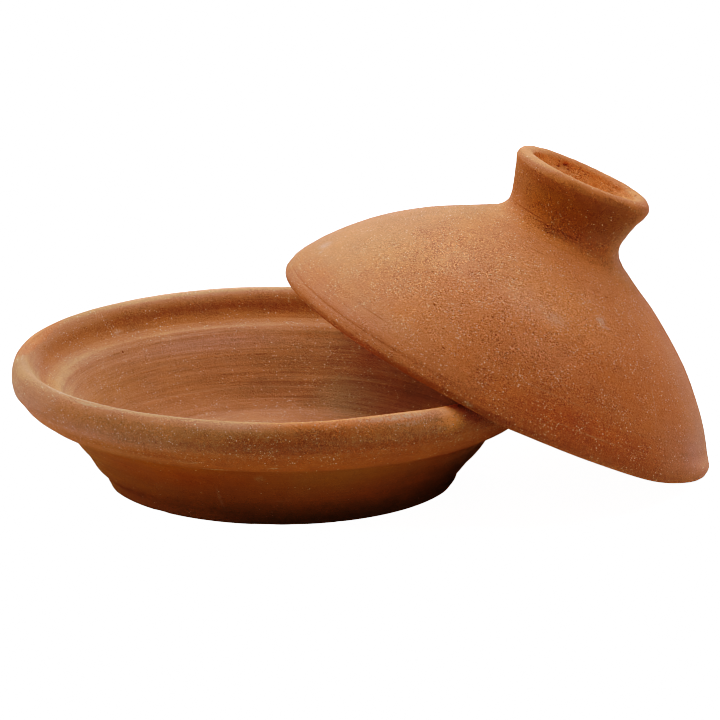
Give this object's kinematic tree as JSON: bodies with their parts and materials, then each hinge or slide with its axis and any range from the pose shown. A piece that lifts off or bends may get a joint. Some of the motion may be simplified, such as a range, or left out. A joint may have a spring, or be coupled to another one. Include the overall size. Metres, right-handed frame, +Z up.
{
  "type": "tagine",
  "caption": "Wide shallow earthenware cooking dish with a rolled rim, and its domed lid with a hollow flared neck, lifted off and leaning on the rim.",
  "frame": {"origin": "centre of the dish's flat foot, on the surface it stands on", "axes": "+Z up; +X from the dish's centre towards the side the lid leans over; the lid's own axis leans 25.7 degrees from +Z, on a bearing of 6.35 degrees from +X towards +Y"},
  "size_m": [0.3909, 0.3012, 0.1835],
  "materials": {
    "dish_clay": "matte",
    "lid_clay": "matte"
  },
  "bodies": {
    "dish": {"dish": "dish_clay"},
    "lid": {"lid": "lid_clay"}
  },
  "joints": [
    {"name": "lid_lift", "type": "slide", "parent": "dish", "child": "lid", "axis": [0, 0, 1], "range_m": [0, 0.16]}
  ]
}
